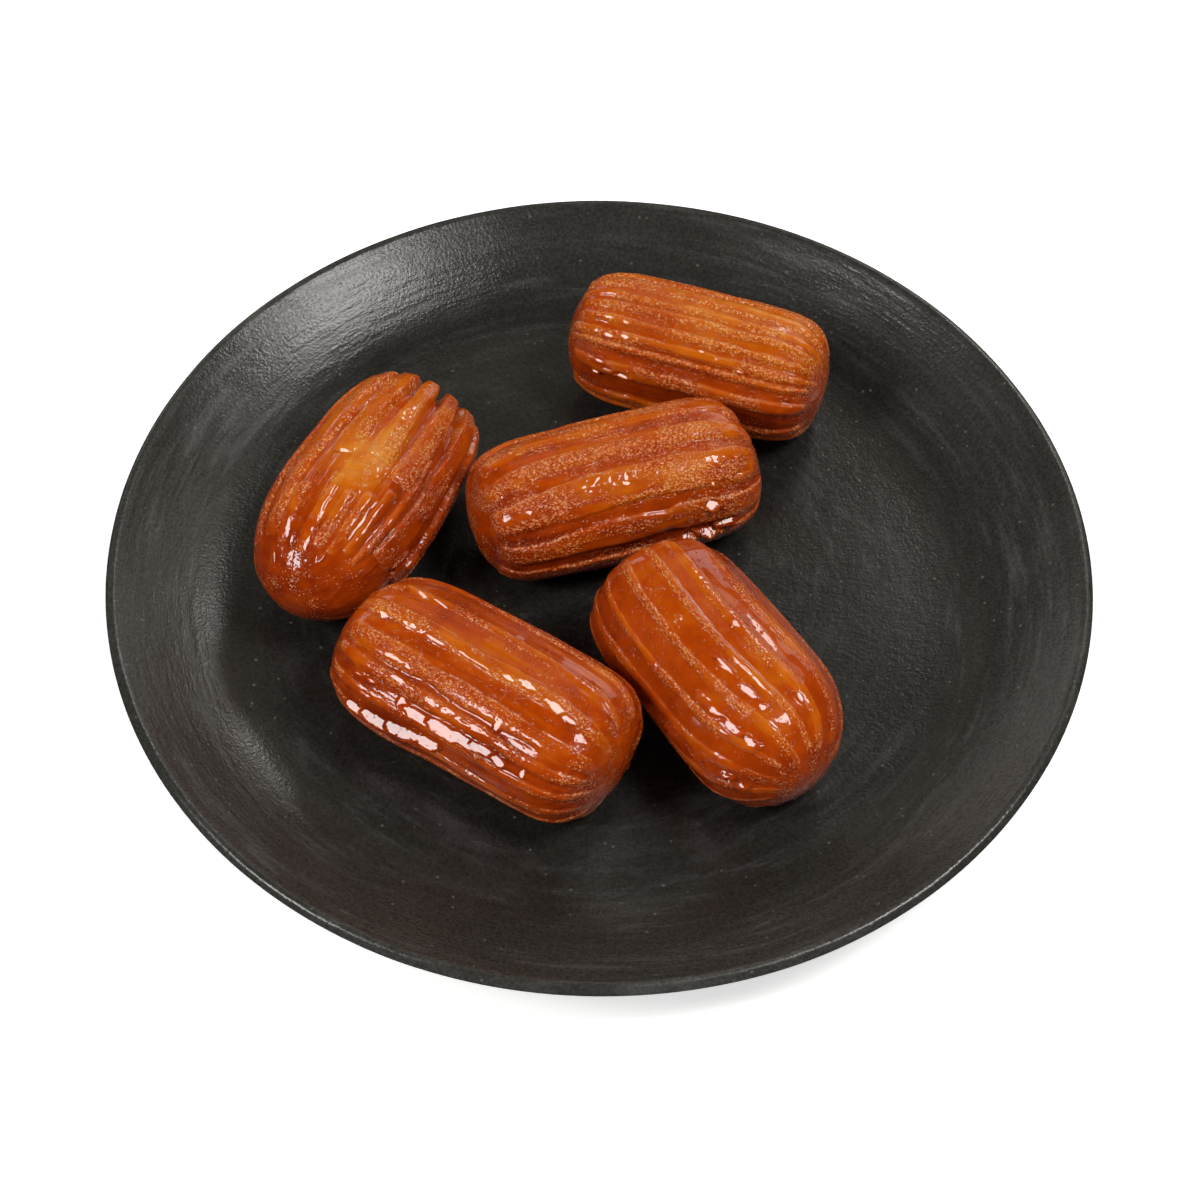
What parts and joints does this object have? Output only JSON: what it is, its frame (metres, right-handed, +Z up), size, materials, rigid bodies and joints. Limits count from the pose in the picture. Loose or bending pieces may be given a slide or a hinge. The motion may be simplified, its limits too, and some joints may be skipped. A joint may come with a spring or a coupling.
{
  "type": "plate of tulumba",
  "caption": "Fluted fingers of fried dough soaked in syrup, served together on a round dark stoneware plate with a low curved wall.",
  "frame": {"origin": "middle of the plate's foot, on the table", "axes": "+Z up out of the plate, +X to the right and +Y to the back as served"},
  "size_m": [0.2, 0.2, 0.0349],
  "materials": {
    "stoneware": "satin black glaze with fine pale specks",
    "pastry": "fried orange-brown dough, glossy with clear syrup"
  },
  "bodies": {
    "root": {"plate": "stoneware", "tulumba_1": "pastry", "tulumba_2": "pastry", "tulumba_3": "pastry", "tulumba_4": "pastry", "tulumba_5": "pastry"}
  },
  "joints": []
}
